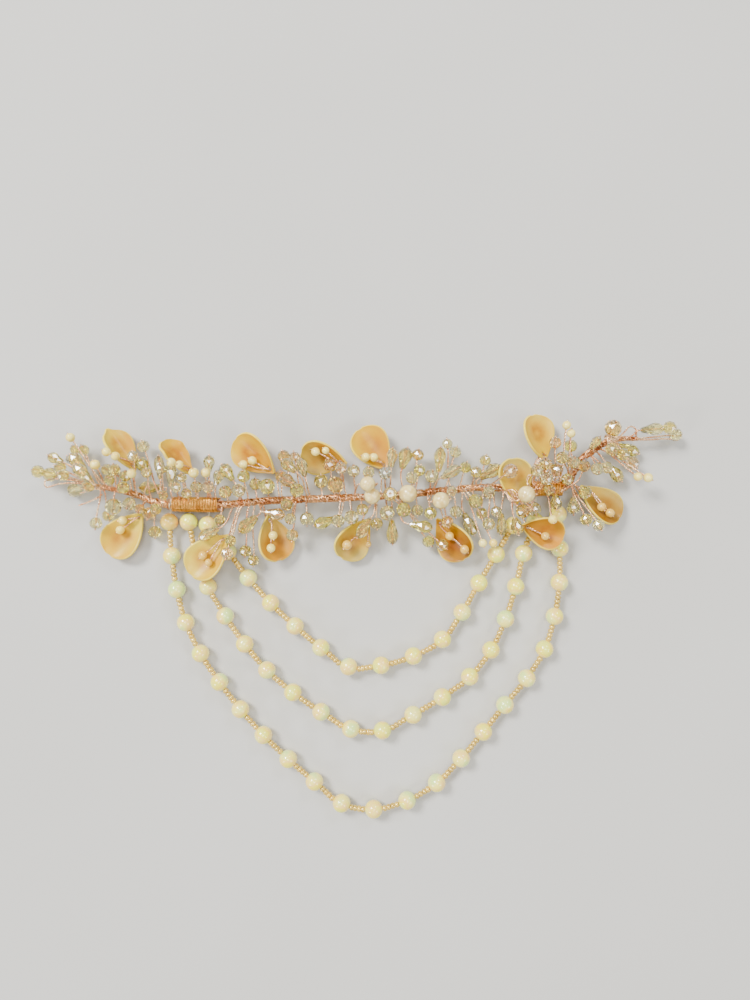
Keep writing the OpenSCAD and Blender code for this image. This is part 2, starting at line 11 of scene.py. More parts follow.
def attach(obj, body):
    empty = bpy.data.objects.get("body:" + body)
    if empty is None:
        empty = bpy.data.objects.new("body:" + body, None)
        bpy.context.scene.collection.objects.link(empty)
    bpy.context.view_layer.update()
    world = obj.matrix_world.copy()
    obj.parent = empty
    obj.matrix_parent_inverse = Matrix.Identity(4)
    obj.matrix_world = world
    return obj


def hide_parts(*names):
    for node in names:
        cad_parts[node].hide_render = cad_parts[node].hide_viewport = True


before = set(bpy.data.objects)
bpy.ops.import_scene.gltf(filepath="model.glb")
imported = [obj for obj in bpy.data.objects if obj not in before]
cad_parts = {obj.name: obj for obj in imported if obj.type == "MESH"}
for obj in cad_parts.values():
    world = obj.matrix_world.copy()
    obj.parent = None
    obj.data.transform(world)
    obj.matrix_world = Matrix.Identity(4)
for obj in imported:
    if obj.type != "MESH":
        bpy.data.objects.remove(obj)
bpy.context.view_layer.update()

# Lengths below are in millimetres, measured from the middle of the photograph on the floor.
# The frame's own origin lies under the middle of the vine's outline.
MM = 0.001
OUTLINE_MIDDLE = Vector((-5.6, -39.0, 0.0))
TO_FRAME = Matrix.Scale(MM, 4) @ Matrix.Translation(-OUTLINE_MIDDLE)

# The camera's distance from the middle of the photograph, and its tilt
CAMERA_REACH = 258.5
CAMERA_TILT = math.radians(2.6)

# Spine: height of its middle, then its rope: strands, their distance from it, pitch, thickness
SPINE_Z = 5.4
ROPE_STRANDS = 9
ROPE_R = 0.92
ROPE_PITCH = 11
ROPE_STRAND_D = 0.62

# Finer wires wound over the rope: distance from the spine's middle, pitch of each, thickness
WINDING_R = 1.26
WINDING_PITCHES = (2.3, 4.1, -3.1)
WINDING_D = 0.3

# Bindings over the clips: section of a turn, then its wire and the number and pitch of turns
BINDING_HALF_W = 2.3
BINDING_LOW = 1.8
BINDING_HIGH = 7.0
BINDING_CORNER = 1.1
BINDING_WIRE_D = 0.5
BINDING_TURNS = 29
BINDING_PITCH = 0.53

# Twigs: thickness of a strand, length of a full twist, how far a twig shows past its stone,
# and the x at which the left twigs give way to the right ones
STRAND_D = 0.36
TWIST = 2.0
TWIG_END = 0.35
HALVES_MEET = -8

# Stones: gap between two on one twig, length of a crystal as a share of its width
STONE_GAP = 0.2
CRYSTAL_SHARE = 0.84

# Petals: thickness, depth of the bowl, share of the length at which it is deepest
PETAL_T = 0.9
PETAL_CUP = 2.0
BOWL_AT = 0.55

# A petal's hole: distance from the base, radius, and the radius's greatest share of the width
PETAL_HOLE_IN = 2.2
PETAL_HOLE_R = 0.62
PETAL_HOLE_SHARE = 0.052

# Greatest value of the curve that shapes a petal's side
TEARDROP_PEAK = 0.77

# Raised lip along a petal's rim: height, reach inwards, and the reach of the painted highlight along
# the rim
LIP_H = 0.22
LIP_REACH = 0.7
RIM_HIGHLIGHT_REACH = 0.3

# Height over a petal's flat at which its own twig ends and its small pearls' stems begin
TWIG_TOP = 1.1
STEM_START = 1.3

# Small pearls over a petal: gap to the petal, thickness of a strand of their stems
STAMEN_CLEAR = 0.7
STEM_D = STRAND_D * 0.85

# Swags: pearls and their pitch, seed beads, thread and its loop round the spine
PEARL_D = 6.0
PEARL_PITCH = 11.6
SEED_D = 2.1
SEED_L = 1.34
SEEDS_IN_A_GAP = 4
THREAD_D = 0.42
TIE_R = 1.5

# Middle line of the spine: x, y
SPINE = [
    (-94, 4.5), (-82, 2), (-71, -1.5), (-52, -1.8), (-36, -0.5), (-10, 0.5), (8, 1.5),
    (36, 4), (46, 3.4), (63, 3.8), (67, 9), (71, 14.5), (80, 20), (89, 20.5),
]

# Middle of each clip's binding: x, y, turn
BINDINGS = [(-60.5, -1.7, -1), (55.5, 3.6, 1)]

# Root on the spine, then the base's place, then turns in degrees
Petal = namedtuple("Petal", "root x y z heading pitch roll length width")
PETALS = [Petal(*row) for row in [
    (-82, -81, 9.6, 5.6, 125, 0, 40, 16.2, 9.2),
    (-62, -61.2, 8, 7, 131, 5, 50, 15, 9.6),
    (-78, -79, -4.5, 3.2, 232, 0, 0, 18, 12.8),
    (-46, -49, -12, 7.8, 228, 0, 8, 18, 12.8),
    (-32, -34, 9, 5, 139, 0, -24, 17.5, 12.6),
    (-12, -9.5, 12.2, 5.8, 166, 0, -30, 15.8, 12.2),
    (-38, -36, -5, 4.6, 283, 0, -28, 16, 12.4),
    (2, 4, 10, 4.6, 124, 0, 5, 16.6, 12.8),
    (0, -2, -6.7, 4.4, 233, 0, -28, 16, 12.4),
    (20, 21, -6.5, 4.4, 306, 0, 28, 16.5, 12.4),
    (45, 47.5, -1.5, 8.2, 96, 5, 0, 15, 10.8),
    (60, 57.5, 13, 5.2, 105, 0, 26, 16, 12.4),
    (46, 48.7, -8.8, 8.6, 345, 0, 10, 14.5, 10.4),
    (66, 69.5, 4.5, 4.8, 320, 0, -22, 17, 12.4),
]]

# Small pearls that stand over a petal: petal, x, y, width
STAMENS = [
    (1, -88.4, 15.3, 3), (1, -85.5, 13.9, 3), (2, -66.3, 11.6, 3), (2, -63.9, 10.9, 2.8),
    (3, -84.9, -7.1, 3), (3, -85.8, -10.4, 3), (4, -56.9, -18.8, 3), (4, -54.9, -21.1, 2.6),
    (5, -44.4, 11.7, 3), (5, -41.3, 13, 3), (6, -19.8, 15.7, 3), (6, -16.4, 16, 2.5),
    (7, -34.1, -12.2, 3), (7, -34.6, -16.4, 3), (8, -3.1, 14, 3), (8, -0.4, 14, 3),
    (9, -9.3, -15.4, 3.4), (9, -2.3, -15.1, 2.2), (10, 25, -12.4, 3), (10, 29.8, -16.8, 3),
    (13, 56.2, -12.4, 2.8), (14, 75.6, -2.7, 3), (14, 78.4, -4.7, 3),
]

# Petals whose small pearls are darker: partly their own translucent petal colour, partly painted shade
PETALS_WITH_SHADED_STAMENS = (4, 9, 10, 13, 14)

# Root on the spine, then the middle's place; tip is the width of a stone beyond the drop, if any
Drop = namedtuple("Drop", "root x y z heading length width tip", defaults=[0])
DROPS = [Drop(*row) for row in [
    (-94, -99.5, 12.2, 8, 135, 7.5, 4.5), (-93, -96, 8.2, 12.6, 135, 7.5, 4.5),
    (-72, -76.3, 4.1, 3.6, 180, 7.5, 4.6), (-72, -72.7, 10.7, 6, 95, 7.6, 3.8),
    (-67, -68, 8, 9, 90, 8, 4), (-40, -42, -8.4, 9.5, 222, 7.5, 5),
    (-47, -54.7, -11.5, 11, 208, 7.2, 4), (-10, -16.9, -7.7, 6, 200, 7.2, 4.5),
    (1, -3.6, -9.7, 9.4, 235, 7.5, 4.2), (5, 5.8, -11, 6, 272, 8, 4.3),
    (9, 10, 13.7, 7, 75, 7.2, 5), (19, 21.8, 13.3, 6, 85, 8.2, 4.3),
    (19, 25.1, 8.7, 10.5, 30, 7.2, 4.2), (34, 38.6, 9, 8, 30, 8, 4.8),
    (29, 31.8, -8.3, 4.6, 295, 8, 4.6), (10, 15.3, -9.1, 9.2, 350, 7.4, 4.3),
    (43, 42.5, -8.4, 6, 270, 7.2, 4), (81, 86.6, 17.2, 3.2, 335, 7.4, 4.5),
    (88, 93, 23.4, 8, 5, 7.4, 4.5, 4.6), (74, 81.1, 9, 5, 310, 7.4, 4.5),
]]
SMALL_DROPS = [Drop(*row) for row in [
    (-94, -107, 13.5, 8, 155, 5.2, 4), (-88, -90.2, 9.7, 4.2, 150, 5.6, 4.4),
    (-78, -77.4, 11, 9, 115, 5.8, 4.8), (-57, -56, 12, 6, 90, 5.4, 4.2),
    (-54, -53, 7.4, 5.2, 75, 5.2, 4.2), (-45, -49, 8.7, 9.6, 125, 6.4, 4.4),
    (-22, -28.4, 10.7, 11.5, 140, 6, 4.2), (-21, -24, 10.3, 10, 105, 6, 4),
    (-25, -28.8, 5.8, 9.8, 150, 5.8, 4.8), (-37, -33.1, -5, 9.2, 350, 6.4, 4.2),
    (4, 5.7, 13.7, 9, 85, 6.4, 3.8), (45, 46.6, -9.2, 11, 285, 5.4, 4.4),
    (66, 66.8, -2.2, 6, 270, 5.6, 4.6), (61, 60.2, -1, 9, 275, 5, 4.2),
    (72, 73.7, 18.7, 8, 50, 5.2, 3.4),
]]

# Root on the spine, then the middle's place; inner is the width of a second stone nearer the spine
Stone = namedtuple("Stone", "root x y z width inner", defaults=[0])
CRYSTALS = {node: [Stone(*row) for row in rows] for node, rows in {
    "crystals_left_end": [
        (-94, -113.5, 9.3, 6.5, 4.5, 5), (-94, -104.8, 10.2, 9.5, 4.2),
        (-94, -103.4, 13.6, 4.2, 3.6), (-94, -102, 17, 4.5, 3.4), (-92, -98.8, 16.7, 5, 4),
        (-94, -102.4, 7.6, 12.5, 4), (-94, -102, 3.4, 3.4, 5.6), (-94, -95.2, 4.2, 9.8, 4.4),
        (-87, -87.3, 9.8, 8, 4.3), (-88, -87.6, 6, 11.6, 3.6), (-88, -87.7, -2.6, 7, 5.8),
        (-92, -90.8, -5.4, 3.2, 4.2), (-93, -93.3, -8.1, 7.5, 4.3),
    ],
    "crystals_left": [
        (-84, -83.1, 7.6, 9.2, 4), (-84, -83.3, 3.6, 10.5, 4.2), (-81, -81.9, -1.7, 8.5, 4.6),
        (-77, -77.8, -3.4, 10.5, 3.4), (-75, -75.9, -4.9, 6.5, 4.6), (-73, -72.6, -3.4, 10, 4),
        (-75, -75, -11, 2.6, 4.5), (-71, -78.5, 18, 5, 4.4), (-80, -79.6, 13.9, 12.6, 3.6),
        (-75, -75, 8.4, 12.8, 3.5), (-70, -70.4, 9.7, 12.5, 3.8), (-63, -64.2, 7, 9.5, 3.5),
        (-66, -65.4, 3.6, 12.5, 3.6), (-59, -59.4, 4, 9.5, 4.2), (-62, -62, 1.6, 12, 3.5),
        (-70, -69.6, 1, 12, 3.2), (-55, -54.9, 3.9, 12, 4.3),
    ],
    "crystals_mid_left": [
        (-51, -51.8, -7, 8, 4), (-43, -43.7, 7.4, 9.5, 4.4), (-40, -40.3, 5.1, 6, 4.4),
        (-36, -35.6, 4, 11, 5.4), (-49, -49.7, 2.3, 9.5, 4.5), (-45, -45, 2.6, 11.5, 4.6),
        (-31, -31.8, 7.8, 5, 4.4), (-26, -30.8, 14.6, 6, 4.4), (-24, -26.9, 14.2, 8, 3.6),
        (-26, -25.6, 2.6, 12.6, 4.8), (-29, -29.2, -2, 10.5, 4.2), (-26, -28, -6.7, 10.5, 4),
        (-23, -22.9, -6.7, 6, 5), (-26, -27.6, -12.1, 7.4, 4.4), (-44, -47, -13.9, 13.8, 3.9),
        (-42, -43.7, -17.3, 4.6, 4.2), (-45, -48.4, -18.1, 12.5, 4.2),
        (-40, -41.1, -20.6, 3.8, 4),
    ],
    "crystals_centre": [
        (-13, -15.2, 11.3, 10, 4.4), (-9, -11.2, 10, 12.5, 4.2), (-7, -7.1, 9.3, 9, 4.4),
        (-2, -2.1, 8.7, 10.5, 4.2), (3, 3.3, 8.3, 12, 4.4), (-18, -18.1, 6, 7, 5),
        (-13, -13, 4.6, 10.5, 5.6), (-5, -4.2, -3.6, 8.5, 4.2), (-8, -7.8, -6.2, 9.5, 5),
        (5, 5, 1.5, 10.5, 5), (9, 9.4, -3.8, 11.6, 5), (4, 4, -4.8, 10.5, 5.2),
        (-11, -12.2, -7.4, 10, 4.6), (0, 0.6, -8.2, 6, 4.4), (12, 14.5, 15, 6, 4.2),
        (13, 14.9, 9.6, 8, 4.2), (12, 12.2, 6.9, 11.5, 4.2), (14, 14.2, -3.8, 6.5, 4.2),
    ],
    "crystals_mid_right": [
        (26, 24.5, 18.8, 5.2, 3.8), (23, 27, 15.8, 7, 4.2), (28, 30.4, 10.7, 6.5, 4.2),
        (18, 18.8, 7.5, 10.5, 4.8), (32, 33.4, 8.8, 11, 4), (35, 37.3, 13.2, 5.2, 4),
        (25, 25.2, 2.4, 11.5, 3.5), (18, 18.5, -4.7, 8.5, 4.4), (27, 27.1, -4.2, 6.5, 4.3),
        (33, 33.2, -0.8, 10.4, 5), (37, 37.7, 2, 10.5, 4.3), (36, 36.3, -4.6, 3.2, 4.2),
        (39, 40.3, -4.2, 9, 3.8), (38, 37.7, -8.4, 9.5, 4.4), (22, 24, -7.7, 9.5, 4.2),
        (6, 18, -14.2, 4.5, 4.3), (4, 22.6, -15.4, 6.8, 4.1),
    ],
    "crystals_right": [
        (37, 44, 8.7, 15.4, 5), (51, 53.1, -3.4, 8, 4.8), (42, 48.5, -4.2, 12, 4.6),
        (60, 60.1, 18.7, 9.5, 4.2), (67, 66.1, 18, 6, 4.6), (65, 65.3, 11.9, 12.5, 4.5),
        (68, 69.6, 10.8, 9.5, 4.2), (73, 73.4, 9.8, 11.5, 4.4), (72, 77, 10.4, 9.5, 4.2),
        (66, 69.5, 2, 10.5, 4.4), (66, 70, -7, 9.5, 4.2), (66, 73.8, -8.8, 10.5, 4.2),
        (52, 52.3, 8.8, 16.5, 4.2), (56, 56, 6.4, 13.5, 4.4), (57, 57.8, 3, 10, 4),
        (60, 60.2, 9.6, 10.5, 4.4), (66, 61.2, 13.2, 14, 4.2), (57, 56.2, 11.4, 12, 4.4),
        (63, 63, 6.2, 13, 4), (78, 79.2, 23.5, 10, 5.8), (77, 78.6, 16.4, 10.5, 4.6),
        (79, 83, 14.8, 8.5, 4.4), (80, 87.2, 12.2, 5.2, 4.8), (88, 102.2, 22, 4.5, 4.6),
    ],
}.items()}
SEED_PEARLS = [Stone(*row) for row in [
    (-90, -101.7, 20.5, 9, 3.1), (-90, -92.6, 11.2, 11, 3.4), (-80, -80.2, 8.2, 11.8, 3.2),
    (-59, -59.6, 8.4, 12.5, 3.4), (-57, -56.2, 8.6, 10, 3.2), (29, 35.7, -14.7, 9.5, 2.8),
    (30, 39.6, -14.7, 6.5, 2.8), (61, 63.3, 24.2, 12, 2.9), (64, 65, 21.6, 11, 2.9),
    (57, 57.9, -7, 14, 3), (75, 86.9, 7.2, 11, 2.9), (75, 90.8, 7, 9.5, 3.2),
]]
CENTRE_PEARLS = [Stone(*row) for row in [
    (-6, -2.4, 4.6, 14.5, 5), (-1, -0.9, 0.8, 11, 5.4), (10, 10.9, 1.6, 11, 6),
    (21, 21.7, -0.7, 11.5, 5.6), (53, 49.3, 1.2, 14.5, 5.6),
]]

# Swag: route from its left end, places on the spine where its two ends are tied
SWAGS = {
    "outer": ([
        (-70, -7.6), (-67.5, -29), (-59.8, -50.5), (-39.6, -77), (-14, -99.5), (-3.5, -104),
        (19, -96.3), (43, -70), (57, -51), (62.4, -29), (62.3, -5),
    ], (-69, 62)),
    "middle": ([
        (-63.4, -7.6), (-56.6, -29.5), (-36, -58), (-8, -77.2), (3.4, -77.2),
        (32, -59.7), (44.3, -40), (50.4, -18.5), (54.5, -7.5),
    ], (-62.5, 55)),
    "inner": ([
        (-56.9, -8.6), (-36, -34.4), (-11, -55.2), (0, -56.4),
        (21.5, -48.4), (34.6, -29.3), (46.9, -8.8),
    ], (-56, 48)),
}

# Wires that carry no stone: loops and loose ends
LOOSE_WIRES = [
    [(-94, 4.5, 5.4), (-100, 5.4, 6), (-106, 5.2, 6.4), (-110.3, 4, 6.6), (-110.9, 5.8, 6.8),
     (-109.5, 7, 6.8), (-105, 6.6, 6.6), (-98, 5.8, 5.8), (-92, 4.4, 5.4)],
    [(-92, 1.7, 5.5), (-95, -0.2, 5.2), (-100, -2, 4.8)],
    [(-92, 3.2, 5), (-95, 3.5, 4.6), (-100, 2, 4.4)],
    [(82, 20.3, 6), (84, 22.6, 6.8), (86, 24.5, 7), (88, 23.4, 6.8), (87, 21.6, 6.2), (84, 20.8, 5.6)],
    [(85, 20.4, 5.2), (92, 20.2, 4.8), (98, 20.6, 4.6), (103, 20.4, 4.4)],
    [(61, 2, 6.6), (64, 3.6, 7.4), (68, 6, 7), (70, 9.5, 6)],
]

# Place on the spine of a knot of bare wire
KNOT_AT = 80

# Tangles of bare wire among the stones over the right clip: x, y, z, width, start of its loops
TANGLES = [
    (55, 11.4, 10, 5.2, 0.4), (52.8, 5.4, 10.4, 5.8, 1.7), (45.2, 1, 11.8, 4.6, 2.9),
    (50, -2.2, 11.6, 5, 4.1), (59, 7.6, 11, 5.4, 5.2),
]


def shade(red, green, blue):
    """Screen colour, 0 to 255, as the linear colour that a shader takes."""
    return (*((part / 255) ** 2.2 for part in (red, green, blue)), 1.0)


class Signal:
    """A socket inside a finish. Sums that begin with it add Math nodes."""

    def __init__(self, finish, socket):
        self.finish = finish
        self.socket = socket

    def maths(self, operation, *values):
        return self.finish.node("ShaderNodeMath", {"operation": operation}, dict(enumerate(values)))

    def __add__(self, other):
        return self.maths("ADD", self, other)

    def __sub__(self, other):
        return self.maths("SUBTRACT", self, other)

    def __mul__(self, other):
        return self.maths("MULTIPLY", self, other)

    def __pow__(self, other):
        return self.maths("POWER", self, other)


class Finish:
    """One procedural material, built round its Principled shader."""

    def __init__(self, name, constants):
        self.material = bpy.data.materials.new(name)
        self.material.use_nodes = True
        self.tree = self.material.node_tree
        self.shader = self.tree.nodes["Principled BSDF"]
        for label, value in constants.items():
            self.shader.inputs[label].default_value = value
        self.place = self.node("ShaderNodeTexCoord", out="Object")

    def node(self, kind, settings=None, sockets=None, out=0):
        made = self.tree.nodes.new(kind)
        for label, value in (settings or {}).items():
            setattr(made, label, value)
        for label, value in (sockets or {}).items():
            self.plug(value, made.inputs[label])
        return Signal(self, made.outputs[out])

    def plug(self, value, socket):
        if isinstance(value, Signal):
            self.tree.links.new(value.socket, socket)
        else:
            socket.default_value = value

    def feed(self, label, value):
        self.plug(value, self.shader.inputs[label])

    def noise(self, scale, detail=2.0, place=None):
        """Soft clouds, scale in spots to a metre."""
        return self.node("ShaderNodeTexNoise", {}, {
            "Vector": place or self.place, "Scale": scale, "Detail": detail})

    def ramp(self, value, stops):
        made = self.node("ShaderNodeValToRGB", {}, {"Fac": value})
        elements = made.socket.node.color_ramp.elements
        while len(elements) < len(stops):
            elements.new(1.0)
        for element, (position, colour) in zip(elements, stops):
            element.position, element.color = position, colour
        return made

    def mix(self, share, first, second, blend="MIX"):
        return self.node("ShaderNodeMix", {"data_type": "RGBA", "blend_type": blend}, {
            0: share, 6: first, 7: second}, out=2)

    def mark(self, name, out="Fac"):
        """What the piece's own attribute holds."""
        return self.node("ShaderNodeAttribute", {"attribute_name": name}, out=out)

    def bump(self, height, strength, depth):
        self.feed("Normal", self.node("ShaderNodeBump", {}, {
            "Height": height, "Strength": strength, "Distance": depth}, out="Normal"))


def wire_finish(name, deep, bright, roughness):
    """Plated wire, a little duller and redder in patches."""
    finish = Finish(name, {"Metallic": 1.0})
    patch = finish.noise(240, 3.0)
    grain = finish.noise(3200)
    finish.feed("Base Color", finish.ramp(patch * 0.8 + grain * 0.2, [(0.36, deep), (0.6, bright)]))
    finish.feed("Roughness", grain * 0.18 + (roughness - 0.06))
    finish.bump(grain, 0.25, 0.00003)
    return finish.material


def clip_finish():
    """Plated steel, brushed along its length."""
    finish = Finish("brushed_clip_metal", {"Metallic": 1.0})
    along = finish.node("ShaderNodeMapping", {}, {
        "Vector": finish.place, "Scale": (60.0, 2600.0, 2600.0)}, out="Vector")
    brushed = finish.noise(1.0, 3.0, along)
    cloud = finish.noise(160)
    finish.feed("Base Color", finish.ramp(
        cloud, [(0.35, shade(196, 148, 122)), (0.65, shade(226, 184, 158))]))
    finish.feed("Roughness", brushed * 0.25 + 0.22)
    finish.bump(brushed, 0.2, 0.00003)
    return finish.material


def petal_finish():
    """Frosted resin with a painted highlight along its rim and a mottled ring in its bowl."""
    finish = Finish("frosted_petal", {
        "Transmission Weight": 0.12, "IOR": 1.46, "Specular IOR Level": 0.22,
        "Coat Weight": 0.1, "Coat Roughness": 0.16})
    own = finish.mark("hue", "Color")
    cloud = finish.noise(190, 3.0)
    speck = finish.noise(900)
    # rim marks the painted highlight that runs along the petal's edge
    rim = finish.mark("rim")
    warm = finish.mix(1.0, own, shade(255, 222, 100), "MULTIPLY")
    body = finish.mix(cloud * 1.8 - 0.5, own, warm)
    spot = (cloud * 1.1 + speck * 0.4) * finish.mark("bowl")
    spotted = finish.mix(spot, body, finish.mix(1.0, own, shade(210, 160, 70), "MULTIPLY"))
    # The pale yellow line along the rim is a painted highlight, where light catches the edge.
    finish.feed("Base Color", finish.mix(rim ** 5 * 0.75, spotted, shade(255, 230, 90)))
    finish.feed("Roughness", speck * 0.16 + 0.32 - rim * 0.12)
    finish.bump(cloud * 0.6 + speck * 0.4, 0.25, 0.00012)
    return finish.material


def crystal_finish(name, tip_glow):
    """Clear cut glass with a champagne lustre, each stone with its own tint."""
    finish = Finish(name, {
        "Transmission Weight": 0.97, "IOR": 1.72,
        "Coat Weight": 0.9, "Coat IOR": 1.9, "Coat Roughness": 0.0})
    own = finish.mark("hue", "Color")
    lustre = finish.noise(420)
    tinted = finish.mix(lustre * 0.5, own, finish.ramp(lustre, [
        (0.3, shade(224, 242, 170)), (0.45, shade(255, 248, 190)),
        (0.58, shade(255, 238, 110)), (0.72, shade(255, 216, 150))]))
    finish.feed("Base Color", finish.mix(
        finish.mark("tip") * tip_glow, tinted, shade(246, 220, 90)))
    finish.feed("Roughness", lustre * 0.05)
    return finish.material


def opal_finish():
    """Pearl with a milky skin and soft patches of mint, peach and yellow."""
    finish = Finish("opal_pearl", {"Coat Weight": 0.9, "Coat Roughness": 0.05})
    patch = finish.noise(150, 0.0)
    swirl = finish.noise(300, 1.0)
    colours = finish.ramp(patch * 0.6 + swirl * 0.4, [
        (0.34, shade(214, 240, 138)), (0.42, shade(250, 242, 134)), (0.47, shade(255, 240, 112)),
        (0.52, shade(255, 216, 126)), (0.57, shade(255, 236, 74)), (0.66, shade(236, 242, 104))])
    finish.feed("Base Color", finish.mix(1.0, finish.mark("hue", "Color"), colours, "MULTIPLY"))
    finish.feed("Roughness", swirl * 0.14 + 0.16)
    finish.bump(finish.noise(1500, 1.0), 0.05, 0.00005)
    return finish.material


def cream_finish(name, pale, warm):
    """Plain pearl coat, warmer in soft clouds."""
    finish = Finish(name, {
        "Coat Weight": 0.9, "Coat Roughness": 0.06, "Specular IOR Level": 0.6})
    cloud = finish.noise(520)
    tinted = finish.ramp(cloud, [(0.36, warm), (0.6, pale)])
    finish.feed("Base Color", finish.mix(1.0, finish.mark("hue", "Color"), tinted, "MULTIPLY"))
    finish.feed("Roughness", cloud * 0.14 + 0.14)
    finish.bump(finish.noise(1800, 1.0), 0.06, 0.00004)
    return finish.material


def seed_finish():
    """Silver lined glass seed bead, champagne in colour."""
    finish = Finish("silver_lined_seed", {
        "Metallic": 0.4, "Coat Weight": 1.0, "Coat Roughness": 0.04})
    own = finish.mark("hue", "Color")
    lining = finish.noise(900)
    finish.feed("Base Color", finish.mix(
        lining, finish.mix(1.0, own, shade(214, 184, 120), "MULTIPLY"), own))
    finish.feed("Roughness", lining * 0.2 + 0.12)
    finish.bump(lining, 0.1, 0.00004)
    return finish.material


def thread_finish():
    """Pale twisted beading thread."""
    finish = Finish("beading_thread", {"Specular IOR Level": 0.4})
    fibre = finish.noise(2800)
    finish.feed("Base Color", finish.ramp(
        fibre, [(0.35, shade(196, 182, 146)), (0.65, shade(232, 222, 192))]))
    finish.feed("Roughness", fibre * 0.2 + 0.42)
    finish.bump(fibre, 0.3, 0.00004)
    return finish.material


def floor_finish():
    finish = Finish("pale_floor", {"Specular IOR Level": 0.2})
    cloud = finish.noise(6, 3.0)
    grain = finish.noise(900)
    finish.feed("Base Color", finish.ramp(
        cloud, [(0.3, shade(186, 184, 178)), (0.7, shade(192, 190, 185))]))
    finish.feed("Roughness", grain * 0.1 + 0.65)
    return finish.material


def between(a, b, c, d, t):
    """Point on a smooth curve between b and c, at the share t of the way."""
    return (b * 2 + (c - a) * t + (a * 2 - b * 5 + c * 4 - d) * t ** 2
            + (b * 3 - a - c * 3 + d) * t ** 3) / 2


def smooth(route, steps):
    """The same route as a smooth curve, with so many steps to each stretch."""
    last = len(route) - 1
    made = []
    for i in range(last):
        four = [route[max(i - 1, 0)], route[i], route[i + 1], route[min(i + 2, last)]]
        made += [between(*four, k / steps) for k in range(steps)]
    return made + [route[last]]


def resampled(route, step):
    """The same route with evenly spaced points, about a step apart."""
    runs = [0.0]
    for a, b in zip(route, route[1:]):
        runs.append(runs[-1] + (b - a).length)
    count = max(2, round(runs[-1] / step))
    made, i = [], 0
    for k in range(count + 1):
        want = runs[-1] * k / count
        while i < len(route) - 2 and runs[i + 1] < want:
            i += 1
        share = (want - runs[i]) / max(runs[i + 1] - runs[i], 1e-6)
        made.append(route[i].lerp(route[i + 1], min(share, 1.0)))
    return made


def flat_route(points, z):
    return [Vector((x, y, z)) for x, y in points]


spine_coarse = smooth(flat_route(SPINE, SPINE_Z), 2)
spine_fine = smooth(flat_route(SPINE, SPINE_Z), 12)


def on_spine(x):
    """Point of the spine at a given x."""
    for a, b in zip(spine_coarse, spine_coarse[1:]):
        if x <= b.x:
            break
    return a.lerp(b, (x - a.x) / (b.x - a.x))


def spine_way(x):
    """Direction of the spine at a given x, taken just inside its two ends."""
    first, last = SPINE[0][0] + 0.5, SPINE[-1][0] - 0.5
    return (on_spine(min(x + 1, last)) - on_spine(max(x - 1, first))).normalized()


def framed(route):
    """Each point of a route with two directions square to it, carried along without a twist."""
    last = len(route) - 1
    side = None
    for i, point in enumerate(route):
        way = (route[min(i + 1, last)] - route[max(i - 1, 0)]).normalized()
        side = way.orthogonal() if side is None else side - way * side.dot(way)
        side.normalize()
        yield point, side, way.cross(side)


def length_of(route):
    return sum((b - a).length for a, b in zip(route, route[1:]))


def wound(route, radius, pitch, phase):
    """A strand that winds round a route; radius may be a number or a function of the share run."""
    made, run, before = [], 0.0, route[0]
    total = length_of(route)
    for point, side, up in framed(route):
        run += (point - before).length
        before = point
        angle = phase + math.tau * run / pitch
        out = radius(run / total) if callable(radius) else radius
        made.append(point + (side * math.cos(angle) + up * math.sin(angle)) * out)
    return made


def hairpin(route, phase):
    """Two strands twisted round each other, which join in a small bend at the far end."""
    fine = resampled(route, TWIST / 8)
    there = wound(fine, STRAND_D / 2, TWIST, phase)
    back = wound(fine, STRAND_D / 2, TWIST, phase + math.pi)
    way = (fine[-1] - fine[-2]).normalized()
    return there + [(there[-1] + back[-1]) / 2 + way * STRAND_D / 2] + back[::-1]


def bow(start, leave, end, arrive, count=10):
    """A bent route that leaves start and reaches end along the given directions."""
    reach = (end - start).length / 3
    a, b = start + leave * reach, end - arrive * reach
    return [start * (1 - t) ** 3 + a * 3 * t * (1 - t) ** 2 + b * 3 * t ** 2 * (1 - t) + end * t ** 3
            for t in (k / count for k in range(count + 1))]


def put(name, data):
    """A new object in the scene."""
    made = bpy.data.objects.new(name, data)
    bpy.context.scene.collection.objects.link(made)
    return made


def mesh_from(bm, name):
    """A mesh of what bm holds; bm is freed."""
    mesh = bpy.data.meshes.new(name)
    bm.to_mesh(mesh)
    bm.free()
    return mesh


def enlist(name, data, stands_for):
    """A finished piece on the root body and the nodes that it stands for."""
    piece = put(name, data)
    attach(piece, "root")
    if stands_for:
        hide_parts(*stands_for)
    return piece


def wires(name, strands, thickness, material, rounder=0,
          stands_for=("vine_wire",)):
    """One piece from many strands of wire or thread."""
    curve = bpy.data.curves.new(name, "CURVE")
    curve.dimensions = "3D"
    curve.bevel_depth = thickness / 2 * MM
    curve.bevel_resolution = rounder
    curve.use_fill_caps = True
    for strand in strands:
        spline = curve.splines.new("POLY")
        spline.points.add(len(strand) - 1)
        placed = (TO_FRAME @ point for point in strand)
        spline.points.foreach_set("co", [part for point in placed for part in (*point, 1.0)])
    curve.materials.append(material)
    return enlist(name, curve, stands_for)


def settle(bm, name, material, stands_for=(), crease=None):
    """One piece from a mesh in millimetres; crease is the sharpest angle that stays smooth."""
    bm.transform(TO_FRAME)
    for face in bm.faces:
        face.smooth = crease is not None
    mesh = mesh_from(bm, name)
    if crease is not None:
        mesh.set_sharp_from_angle(angle=math.radians(crease))
    mesh.materials.append(material)
    return enlist(name, mesh, stands_for)


def shape_of(bm, name):
    """A small shape of unit size, kept to be stamped many times."""
    bmesh.ops.recalc_face_normals(bm, faces=bm.faces)
    return mesh_from(bm, name)


